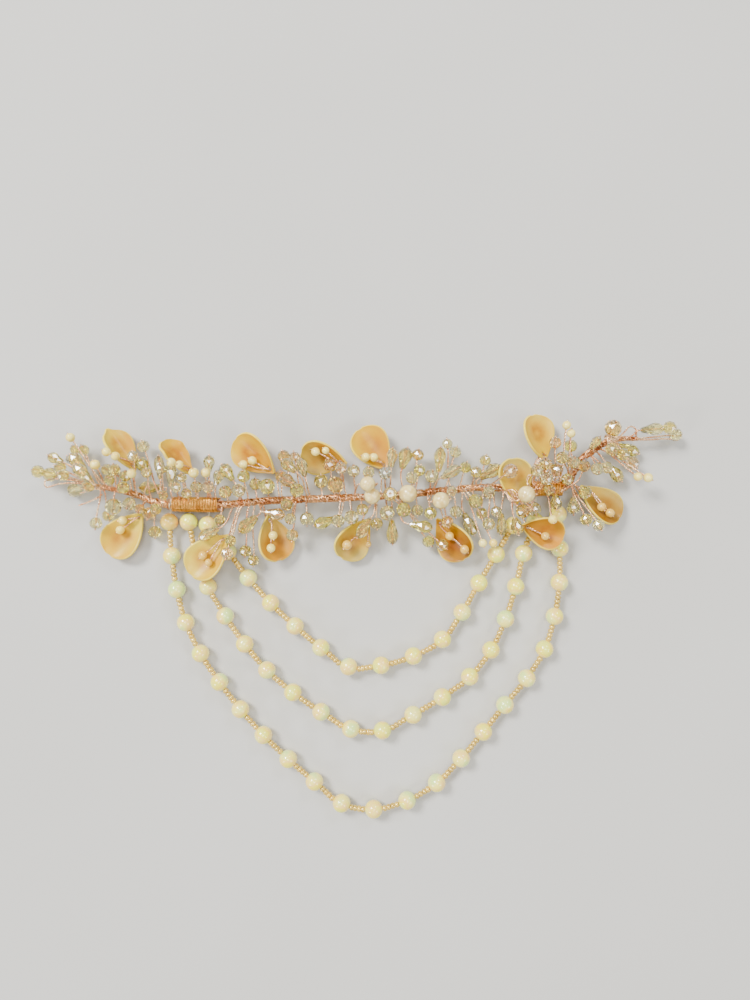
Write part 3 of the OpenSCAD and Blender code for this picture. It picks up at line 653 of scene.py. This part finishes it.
def turned(profile, steps):
    """A closed profile of radius and height, turned full circle round the upright axis."""
    bm = bmesh.new()
    verts = [bm.verts.new((radius, 0, height)) for radius, height in profile]
    edges = [bm.edges.new((verts[i - 1], verts[i])) for i in range(len(verts))]
    bmesh.ops.spin(bm, geom=verts + edges, cent=(0, 0, 0), axis=(0, 0, 1),
                   angle=math.tau, steps=steps, use_merge=True)
    bmesh.ops.remove_doubles(bm, verts=bm.verts, dist=1e-5)
    return bm


def pearl_shape(bore, rings, steps):
    """Drilled ball one unit wide; bore is the hole's share of its width."""
    mouth = math.asin(bore)
    arc = [mouth + (math.pi - 2 * mouth) * k / rings for k in range(rings + 1)]
    return shape_of(turned([(math.sin(a) / 2, math.cos(a) / 2) for a in arc], steps), "pearl_shape")


def crystal_shape():
    """Round bead with flat triangular facets and a small table at each end of its hole."""
    table, pole = 0.42, 0.49
    bm = bmesh.new()
    bmesh.ops.create_icosphere(bm, subdivisions=2, radius=0.5)
    bmesh.ops.delete(bm, geom=[v for v in bm.verts if abs(v.co.z) > pole], context="VERTS")
    rims = [edge for edge in bm.edges if edge.is_boundary]
    for vert in {v for edge in rims for v in edge.verts}:
        vert.co.z = math.copysign(CRYSTAL_SHARE / 2, vert.co.z)
    grown = bmesh.ops.extrude_edge_only(bm, edges=rims)["geom"]
    for vert in (v for v in grown if isinstance(v, bmesh.types.BMVert)):
        vert.co.x *= table
        vert.co.y *= table
    bmesh.ops.bridge_loops(bm, edges=[edge for edge in bm.edges if edge.is_boundary])
    return shape_of(bm, "crystal_shape")


def drop_shape(sides=9):
    """Long drop, narrow at its base, with tall facets; its length lies along the upright axis."""
    rings = [(0.10, -0.50), (0.19, -0.50), (0.31, -0.24), (0.45, 0.0),
             (0.5, 0.17), (0.38, 0.38), (0.2, 0.5), (0.10, 0.5)]
    bm = turned(rings, sides)
    for place, (radius, height) in enumerate(rings):
        if place % 2:
            ring = [v for v in bm.verts
                    if abs(v.co.z - height) < 1e-4 and abs(v.co.xy.length - radius) < 1e-3]
            bmesh.ops.rotate(bm, cent=(0, 0, 0), verts=ring,
                             matrix=Matrix.Rotation(math.pi / sides, 3, "Z"))
    bmesh.ops.triangulate(bm, faces=bm.faces)
    return shape_of(bm, "drop_shape")


def seed_shape():
    """Short round-cornered glass tube one unit wide and one long."""
    profile = [(0.2, -0.5), (0.36, -0.5), (0.5, -0.26), (0.5, 0.26), (0.36, 0.5), (0.2, 0.5)]
    return shape_of(turned(profile, 11), "seed_shape")


class Field:
    """A mesh that takes many copies of small shapes, each with its own hue."""

    def __init__(self):
        self.bm = bmesh.new()
        self.bm.verts.layers.float_color.new("hue")
        self.bm.verts.layers.float.new("tip")

    def stamp(self, shape, at, way, size, hue):
        """size is the width, or the width and the length along the way."""
        width, length = size if isinstance(size, tuple) else (size, size)
        start = len(self.bm.verts)
        self.bm.from_mesh(shape)
        self.bm.verts.ensure_lookup_table()
        fresh = self.bm.verts[start:]
        hues = self.bm.verts.layers.float_color["hue"]
        tips = self.bm.verts.layers.float["tip"]
        for vert in fresh:
            vert[hues] = hue
            vert[tips] = max(0.0, vert.co.z * 2) ** 2
        bmesh.ops.transform(
            self.bm, verts=fresh,
            matrix=Matrix.Translation(at) @ way.to_track_quat("Z", "Y").to_matrix().to_4x4()
            @ Matrix.Diagonal((width, width, length, 1.0)))


def place_of(row):
    return Vector((row.x, row.y, row.z))


def twig_way(row):
    """Straight direction from a stone's root on the spine to the stone."""
    return (place_of(row) - on_spine(row.root)).normalized()


def level_way(angle):
    """Level direction at so many degrees from x."""
    return Vector((math.cos(math.radians(angle)), math.sin(math.radians(angle)), 0))


def twig_route(root, before, way, end):
    """From the spine to the mouth of a stone, and straight on through it."""
    start = on_spine(root)
    straight = (before - start).normalized()
    along = spine_way(root) * (1 if straight.dot(spine_way(root)) >= 0 else -1)
    leave = (straight * 0.8 + along * 0.35).normalized()
    return bow(start, leave, before, way) + [end]


# The scene round the object


def set_camera():
    """The photograph's own view, nearly straight down."""
    lens = bpy.data.cameras.new("camera")
    lens.lens = 27
    lens.sensor_width = 36
    lens.clip_start = 0.01
    seat = put("camera", lens)
    seat.location = TO_FRAME @ Vector(
        (0, -CAMERA_REACH * math.sin(CAMERA_TILT), CAMERA_REACH * math.cos(CAMERA_TILT)))
    seat.rotation_euler = (CAMERA_TILT, 0, 0)
    bpy.context.scene.camera = seat


def lay_floor():
    """Plain floor, a hair below the vine."""
    bm = bmesh.new()
    bmesh.ops.create_grid(bm, x_segments=4, y_segments=4, size=3)
    bmesh.ops.translate(bm, verts=bm.verts, vec=(0, 0, -0.0002))
    mesh = mesh_from(bm, "floor")
    mesh.materials.append(floor_finish())
    put("floor", mesh)


def set_lights():
    """A soft key from the upper left, a wide fill from the right, a lamp above, two low lamps
    for glints and a pale surround."""
    for name, seat, size, power in [
        ("key", (-1.26, 1.08, 1.86), 0.72, 102.0),
        ("fill", (1.65, -0.75, 1.8), 0.9, 20.0),
        ("top", (0.15, 0.3, 2.7), 0.9, 31.0),
        ("left_glint", (-1.5, -0.9, 1.05), 0.48, 14.4),
        ("right_glint", (0.9, 1.5, 1.35), 0.48, 14.4),
    ]:
        lamp = bpy.data.lights.new(name, "AREA")
        lamp.size = size
        lamp.energy = power
        holder = put(name, lamp)
        holder.location = seat
        holder.rotation_euler = (-Vector(seat)).to_track_quat("-Z", "Y").to_euler()
    world = bpy.data.worlds.new("surround")
    world.use_nodes = True
    sky = world.node_tree.nodes["Background"].inputs
    sky["Color"].default_value = shade(228, 228, 226)
    sky["Strength"].default_value = 0.8
    bpy.context.scene.world = world


# The stones

CLEAR = shade(254, 246, 172)
CHAMPAGNE = shade(254, 234, 112)
LEMON = shade(250, 242, 92)
BLUSH = shade(255, 218, 160)
MIST = shade(216, 230, 228)
HONEY = shade(248, 198, 72)
STONE_HUES = [CLEAR, CHAMPAGNE, LEMON, BLUSH, MIST, HONEY]
STONE_WEIGHTS = [30, 34, 18, 7, 5, 6]
DROP_WEIGHTS = [30, 40, 24, 6]


def make_crystals(material):
    """A piece for each field of stones, in tints drawn by weight."""
    draw = random.Random(11)
    bead = crystal_shape()
    for node, rows in CRYSTALS.items():
        field = Field()
        for row in rows:
            way, at = twig_way(row), place_of(row)
            field.stamp(bead, at, way, row.width, draw.choices(STONE_HUES, STONE_WEIGHTS)[0])
            if row.inner:
                before = at - way * ((row.width + row.inner) / 2 * CRYSTAL_SHARE + STONE_GAP)
                field.stamp(bead, before, way, row.inner, CHAMPAGNE)
        settle(field.bm, node.replace("crystals", "cut_crystals"), material, [node])


def make_drops(material):
    """A piece for each large drop, with the stone on its tip, and one for the small drops."""
    draw = random.Random(12)
    shape, bead = drop_shape(), crystal_shape()
    groups = [(f"faceted_drop_{i + 1:02d}", f"drop_{i + 1:02d}", [row]) for i, row in enumerate(DROPS)]
    for name, node, rows in groups + [("faceted_small_drops", "small_drops", SMALL_DROPS)]:
        field = Field()
        for row in rows:
            way = level_way(row.heading)
            hue = draw.choices(STONE_HUES[:len(DROP_WEIGHTS)], DROP_WEIGHTS)[0]
            field.stamp(shape, place_of(row), way, (row.width, row.length), hue)
            if row.tip:
                out = row.length / 2 + row.tip * CRYSTAL_SHARE / 2 + STONE_GAP
                field.stamp(bead, place_of(row) + way * out, way, row.tip, CHAMPAGNE)
        settle(field.bm, name, material, [node])


# The petals

STRAW = shade(226, 206, 74)
GOLD = shade(224, 184, 24)
BEIGE = shade(226, 190, 70)
OLIVE = shade(188, 166, 78)
AMBER = shade(204, 146, 4)
TAWNY = shade(150, 104, 6)

# Paler hue, deeper hue, direction in which a petal deepens: 0 at its tip, 90 at its left
PETAL_HUES = [
    (STRAW, AMBER, 235), (GOLD, AMBER, 200), (STRAW, GOLD, 10), (STRAW, GOLD, 100),
    (GOLD, AMBER, 180), (OLIVE, AMBER, 220), (OLIVE, AMBER, 20), (GOLD, AMBER, 230),
    (OLIVE, GOLD, 190), (AMBER, TAWNY, 30), (OLIVE, GOLD, 170), (BEIGE, GOLD, 180),
    (AMBER, TAWNY, 170), (OLIVE, TAWNY, 310),
]

# Petals with a wavier rim and how much it waves, petals with a nib at the tip and its length
RUFFLES = {2: 0.6}
NIBS = {1: 1.1}


def petal_seat(row):
    """Where a petal lies, from its own base with its length along x."""
    turn = Matrix.Rotation
    return (Matrix.Translation(place_of(row)) @ turn(math.radians(row.heading), 4, "Z")
            @ turn(-math.radians(row.pitch), 4, "Y") @ turn(math.radians(row.roll), 4, "X"))


def petal_height(row, x, y):
    """Height of the cupped face over the petal's own flat."""
    return PETAL_CUP * ((2 * y / row.width) ** 2 + (x / row.length - BOWL_AT) ** 2)


def petal_sheet(number, row, sway):
    """Flat teardrop with its base at zero and its tip along x."""
    bm = bmesh.new()
    bmesh.ops.create_grid(bm, x_segments=14, y_segments=10, size=1)
    for vert in bm.verts:
        turn = (vert.co.x + 1) / 2 * math.pi
        at_tip = turn > 3.1
        share = math.sin(vert.co.y * math.pi / 2) * 0.35 + vert.co.y * 0.65
        half = row.width / 2 * math.sin(turn) * math.sin(turn / 2) / TEARDROP_PEAK
        half = max(half, 0.9 if at_tip and number not in NIBS else 0.35)
        vert.co.x = row.length * (1 - math.cos(turn)) / 2
        vert.co.y = half * share + 0.25 * sway * math.sin(turn)
        vert.co.z = 0
        if at_tip:
            vert.co.x += NIBS.get(number, 0)
    return bm


def open_hole(bm, width):
    """Turns the ring of points round one point near the base into a round hole."""
    hole = Vector((PETAL_HOLE_IN, 0, 0))
    centre = min(bm.verts, key=lambda v: (v.co - hole).length)
    ring = sorted({v for face in centre.link_faces for v in face.verts if v is not centre},
                  key=lambda v: math.atan2(v.co.y - centre.co.y, v.co.x - centre.co.x))
    radius = min(PETAL_HOLE_R, PETAL_HOLE_SHARE * width)
    for place, vert in enumerate(ring):
        angle = math.tau * place / len(ring) - math.pi
        vert.co = hole + Vector((math.cos(angle), math.sin(angle), 0)) * radius
    bmesh.ops.delete(bm, geom=[centre], context="VERTS")


def make_petal(number, row, material):
    """Cupped sheet of resin with its hues and the marks that its finish reads."""
    draw = random.Random(number)
    sway, phase, swell = (draw.uniform(-1, 1) for _ in range(3))
    length, width = row.length, row.width
    pale, deep, lean = PETAL_HUES[number - 1]
    lean = math.radians(lean)
    ruffle = RUFFLES.get(number, 0.16)
    pleat = 1.3 if number in RUFFLES else 0.55
    bm = petal_sheet(number, row, sway)
    rim = [v.co.copy() for v in bm.verts if v.is_boundary]
    open_hole(bm, width)
    rims = bm.verts.layers.float.new("rim")
    bowls = bm.verts.layers.float.new("bowl")
    hues = bm.verts.layers.float_color.new("hue")
    for vert in bm.verts:
        x, y = vert.co.x, vert.co.y
        near = min((vert.co - at).length for at in rim)
        middle = math.hypot((x - length * 0.62) / (length * 0.2), y / (width * 0.26))
        # The rim mark is the painted highlight, fading inwards from the petal's edge.
        vert[rims] = math.exp(-(near / RIM_HIGHLIGHT_REACH) ** 2)
        vert[bowls] = math.exp(-((middle - 0.6) / 0.5) ** 2)
        towards = math.cos(lean) * (2 * x / length - 1) + math.sin(lean) * 2 * y / width
        share = min(1.0, max(0.0, 0.5 + 0.6 * towards))
        vert[hues] = tuple(a + (b - a) * share for a, b in zip(pale, deep))
        ripple = math.sin(x * pleat + phase * 3) * swell * ruffle * (2 * abs(y) / width) ** 2
        lip = LIP_H * math.exp(-(near / LIP_REACH) ** 2)
        vert.co.z = petal_height(row, x, y) + ripple + lip
    bmesh.ops.recalc_face_normals(bm, faces=bm.faces)
    if sum(face.normal.z for face in bm.faces) < 0:
        bmesh.ops.reverse_faces(bm, faces=bm.faces)
    bmesh.ops.solidify(bm, geom=bm.faces, thickness=PETAL_T)
    bm.transform(petal_seat(row))
    piece = settle(bm, f"frosted_petal_{number:02d}", material,
                   [f"petal_{number:02d}"], crease=180)
    finer = piece.modifiers.new("finer", "SUBSURF")
    finer.levels = finer.render_levels = 2


def over_petal(row, x, y, clear):
    """Point over x and y that stands clear of the petal or its rim by some height."""
    seat = petal_seat(row)
    back = seat.inverted()
    length, side = row.length, row.width / 2
    rim = [seat @ Vector((length * part, edge, petal_height(row, length * part, edge)))
           for part in (0.3, 0.5, 0.7) for edge in (-side, side)]
    at = Vector((x, y, max(place.z for place in rim) + clear))
    while at.z > clear:
        inner = back @ at
        skin = petal_height(row, min(inner.x, length), max(-side, min(side, inner.y)))
        if inner.z - skin < clear:
            break
        at.z -= 0.1
    return at


# Pearls and swags

IVORY = shade(255, 252, 244)
# Darker hue of some small pearls: partly their own translucent petal colour, partly painted shade
DUSKY_AND_SHADED = shade(226, 196, 150)
PEACH = shade(250, 216, 168)
SEED_GLASS = shade(240, 212, 104)


def pearl_row(route):
    """Middles of the pearls of a swag, one pitch apart along its route."""
    fine = smooth(flat_route(route, PEARL_D / 2), 8)
    total = length_of(fine)
    return resampled(fine, total / math.floor(total / PEARL_PITCH + 0.5))


def hole_way(row, i):
    """Direction of the hole of one pearl in a row: along the string."""
    return (row[min(i + 1, len(row) - 1)] - row[max(i - 1, 0)]).normalized()


def make_swags(opal, seed, thread):
    """For each swag its pearls, its single seed beads and its thread."""
    draw = random.Random(21)
    out = PEARL_D / 2
    pearl, bead = pearl_shape(0.18, 14, 26), seed_shape()
    for name, (route, ties) in SWAGS.items():
        row = pearl_row(route)
        pearls, seeds, line = Field(), Field(), []
        for i, at in enumerate(row):
            hue = PEACH if name == "outer" and i == 0 else IVORY
            way = hole_way(row, i)
            pearls.stamp(pearl, at, way, PEARL_D, hue)
            line += [at - way * (out - 0.1), at + way * (out - 0.1)]
            if i == len(row) - 1:
                break
            start, end = at + way * out, row[i + 1] - hole_way(row, i + 1) * out
            for k in range(SEEDS_IN_A_GAP):
                middle = start.lerp(end, (k + 0.5) / SEEDS_IN_A_GAP)
                tilt = Vector([draw.uniform(-0.09, 0.09) for _ in range(3)])
                glow = draw.uniform(0.8, 1.08)
                hue = tuple(part * glow for part in SEED_GLASS[:3]) + (1.0,)
                size = (SEED_D * draw.uniform(0.93, 1.05), SEED_L * draw.uniform(0.9, 1.04))
                seeds.stamp(bead, middle, (end - start).normalized() + tilt, size, hue)
        settle(pearls.bm, f"{name}_swag_pearls", opal, [f"swag_{name}_pearls"], crease=40)
        settle(seeds.bm, f"{name}_swag_seed_beads", seed,
               [f"swag_{name}_string"], crease=50)
        tied = swag_tie(row[0], on_spine(ties[0]))[::-1] + line + swag_tie(row[-1], on_spine(ties[1]))
        wires(f"{name}_swag_thread", [tied], THREAD_D, thread, 1,
              [f"swag_{name}_string"])


def swag_tie(pearl, spine):
    """Thread from an end pearl up to the spine and once round it."""
    out = Vector((pearl.x, pearl.y, 0)) - Vector((spine.x, spine.y, 0))
    out.normalize()
    turns = [spine + out * math.cos(a) * TIE_R + Vector((0.12 * a, 0, math.sin(a) * TIE_R))
             for a in (math.tau * k / 12 - 0.6 for k in range(15))]
    near = pearl - out * (PEARL_D / 2 + 0.2)
    return bow(near, -out, turns[0], Vector((0, 0, 1)), 6) + turns[1:]


def make_small_pearls(cream, milky):
    """The small pearls on twigs, and the large ones that sit over the spine."""
    small, large = Field(), Field()
    bead, ball = pearl_shape(0.2, 10, 18), pearl_shape(0.17, 14, 26)
    for row in SEED_PEARLS:
        small.stamp(bead, place_of(row), twig_way(row), row.width, IVORY)
    for row in CENTRE_PEARLS:
        large.stamp(ball, place_of(row), spine_way(row.root), row.width, IVORY)
    settle(small.bm, "small_pearls", cream, ["seed_pearls"], crease=40)
    settle(large.bm, "large_pearls", milky, ["centre_pearls"], crease=40)


# The wire


def petal_stem(row):
    """From the spine to the underside of a petal and up through its hole."""
    seat = petal_seat(row)
    under = seat @ Vector((PETAL_HOLE_IN, 0, -PETAL_T - 1))
    top = seat @ Vector((PETAL_HOLE_IN, 0, TWIG_TOP))
    up = (top - under).normalized()
    start = on_spine(row.root)
    return bow(start, (under - start).normalized(), under, up) + [top]


def saddle(row):
    """From the spine up beside a large pearl, across through its hole and down again."""
    at, rise, way = place_of(row), twig_way(row), spine_way(row.root)
    start = on_spine(row.root)
    out = row.width / 2
    left = [start - way * 1.4, at - way * (out + 0.5) - rise * out * 0.6, at - way * (out + 0.2)]
    right = [at + way * (out + 0.2), at + way * (out + 0.5) - rise * out * 0.6, start + way * 1.4]
    return smooth(left + right, 5)


def make_stamens(cream, wire):
    """The small pearls over the petals, each on a stem out of its petal's hole."""
    pearl = pearl_shape(0.2, 10, 16)
    field, stems = Field(), []
    draw = random.Random(31)
    for number, x, y, width in STAMENS:
        row = PETALS[number - 1]
        at = over_petal(row, x, y, width / 2 + STAMEN_CLEAR)
        seat = petal_seat(row)
        top = seat @ Vector((PETAL_HOLE_IN, 0, STEM_START))
        way = (at - top).normalized()
        # Pearls over the listed petals take the darker hue, which is partly painted shade.
        field.stamp(pearl, at, way, width, DUSKY_AND_SHADED if number in PETALS_WITH_SHADED_STAMENS else IVORY)
        rise = (seat.col[2].xyz * 0.6 + way).normalized()
        before = at - way * width * 0.5
        stems.append(hairpin(bow(top, rise, before, way, 8) + [at + way * (width / 2 + 0.15)],
                             draw.uniform(0, math.tau)))
    settle(field.bm, "stamen_pearls", cream, crease=40)
    wires("stamen_stems", stems, STEM_D, wire, stands_for=())


def make_twigs(wire):
    """A twisted pair of strands to every stone, small pearl, drop, petal and large pearl."""
    draw = random.Random(41)
    halves = {"left_twigs": [], "right_twigs": []}
    rows = [row for group in CRYSTALS.values() for row in group] + SEED_PEARLS
    routes = []
    for row in rows:
        way, at = twig_way(row), place_of(row)
        inner = row.inner * CRYSTAL_SHARE + STONE_GAP if row.inner else 0
        routes.append(twig_route(row.root, at - way * (row.width * 0.5 + inner), way,
                                 at + way * (row.width * CRYSTAL_SHARE / 2 + TWIG_END)))
    for row in DROPS + SMALL_DROPS:
        way, at = level_way(row.heading), place_of(row)
        tip = row.tip * CRYSTAL_SHARE + STONE_GAP if row.tip else 0
        routes.append(twig_route(row.root, at - way * (row.length / 2 + 1), way,
                                 at + way * (row.length / 2 + tip + TWIG_END)))
    routes += [petal_stem(row) for row in PETALS]
    routes += [saddle(row) for row in CENTRE_PEARLS]
    for route in routes:
        half = "left_twigs" if route[0].x < HALVES_MEET else "right_twigs"
        halves[half].append(hairpin(route, draw.uniform(0, math.tau)))
    for name, strands in halves.items():
        wires(name, strands, STRAND_D, wire)


def make_spine(wire, winding):
    """A rope of strands, thinner at its two ends, with finer wires wound over it."""
    draw = random.Random(51)
    route = resampled(spine_fine, 0.7)
    strands = []
    for k in range(ROPE_STRANDS):
        wander = [draw.uniform(0, math.tau) for _ in range(3)]

        def radius(share, wander=wander):
            ends = min(1.0, 0.5 + 4 * share, 0.45 + 6 * (1 - share))
            loose = 0.07 + 0.5 * max(0.0, 0.13 - share)
            return ends * (ROPE_R + loose * math.sin(40 * share + wander[0])
                           + loose * math.sin(97 * share + wander[1]))

        pitch = ROPE_PITCH + 0.8 * math.sin(wander[2])
        strands.append(wound(route, radius, pitch, math.tau * k / ROPE_STRANDS))
    strands.append(route)
    wires("spine_strands", strands, ROPE_STRAND_D, wire, 1)
    fine = resampled(spine_fine, 0.18)
    wraps = []
    for k, pitch in enumerate(WINDING_PITCHES):
        def cover(share, k=k):
            ends = min(1.0, 0.55 + 4 * share, 0.5 + 6 * (1 - share))
            return ends * (WINDING_R + 0.05 * math.sin(61 * share + k))

        wraps.append(wound(fine, cover, pitch, k * 2.0))
    wires("spine_winding", wraps, WINDING_D, winding)


def make_bindings(wire):
    """Close turns of wire round the spine and the upper jaw of each clip."""
    side, corner = BINDING_HALF_W - BINDING_CORNER, BINDING_CORNER
    top, foot = BINDING_HIGH - corner, BINDING_LOW + corner
    turn = []
    for x, z, start in [(side, top, 0), (-side, top, 90), (-side, foot, 180), (side, foot, 270)]:
        for k in range(4):
            a = math.radians(start + 30 * k)
            turn.append((x + corner * math.cos(a), z + corner * math.sin(a)))
    draw = random.Random(61)
    strands = []
    for x, y, angle in BINDINGS:
        seat = Matrix.Translation((x, y, 0)) @ Matrix.Rotation(math.radians(angle), 4, "Z")
        strand = []
        for k in range(BINDING_TURNS):
            loose = draw.uniform(-0.08, 0.1)
            for i, (across, z) in enumerate(turn):
                run = k + i / len(turn) - BINDING_TURNS / 2
                along = run * BINDING_PITCH + draw.uniform(-0.03, 0.03)
                strand.append(seat @ Vector((along, across * (1 + loose * 0.4), z + loose)))
        strands.append(strand)
    wires("clip_bindings", strands, BINDING_WIRE_D, wire, 1)


def make_loose_wires(wire):
    """Loops and loose ends, a knot round the spine near its right end, and the tangles."""
    draw = random.Random(71)
    strands = []
    for route in LOOSE_WIRES:
        bent = smooth([Vector(point) for point in route], 8)
        strands.append(hairpin(bent, draw.uniform(0, math.tau)))
    step, knot = 0.35, on_spine(KNOT_AT)
    strands.append([knot + Vector((math.cos(a * 1.9) * 1.9, math.sin(a) * 1.9, math.cos(a) * 1.7))
                    for a in (k * step for k in range(150))])
    for x, y, z, width, start in TANGLES:
        middle, reach = Vector((x, y, z)), width / 2
        strands.append([
            middle + Vector((math.cos(a) * reach * (0.8 + 0.2 * math.cos(a * 0.37 + start)),
                             math.sin(a * 1.13 + start) * reach * 0.85,
                             math.sin(a * 0.71 + start) * 1.3))
            for a in (k * step for k in range(76))])
    wires("loose_wires", strands, STRAND_D, wire)


set_camera()
lay_floor()
set_lights()

copper = wire_finish("copper_spine", shade(150, 84, 46), shade(230, 168, 112), 0.26)
rose_gold = wire_finish("rose_gold_twig", shade(228, 164, 116), shade(255, 222, 180), 0.24)
crystal = crystal_finish("cut_crystal", 0.0)
drop = crystal_finish("cut_drop", 0.45)
cream = cream_finish("cream_pearl", shade(255, 238, 138), shade(252, 218, 92))
milky = cream_finish("milky_pearl", shade(246, 226, 156), shade(222, 190, 112))

make_spine(copper, rose_gold)
make_bindings(wire_finish("golden_binding", shade(192, 124, 48), shade(242, 186, 92), 0.26))
make_twigs(rose_gold)
make_loose_wires(rose_gold)
make_crystals(crystal)
make_drops(drop)
petal_resin = petal_finish()
for number, row in enumerate(PETALS, 1):
    make_petal(number, row, petal_resin)
make_stamens(cream, rose_gold)
make_small_pearls(cream, milky)
make_swags(opal_finish(), seed_finish(), thread_finish())

clip_metal = clip_finish()
for node in ("clip_left", "clip_right"):
    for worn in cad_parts[node].material_slots:
        worn.material = clip_metal
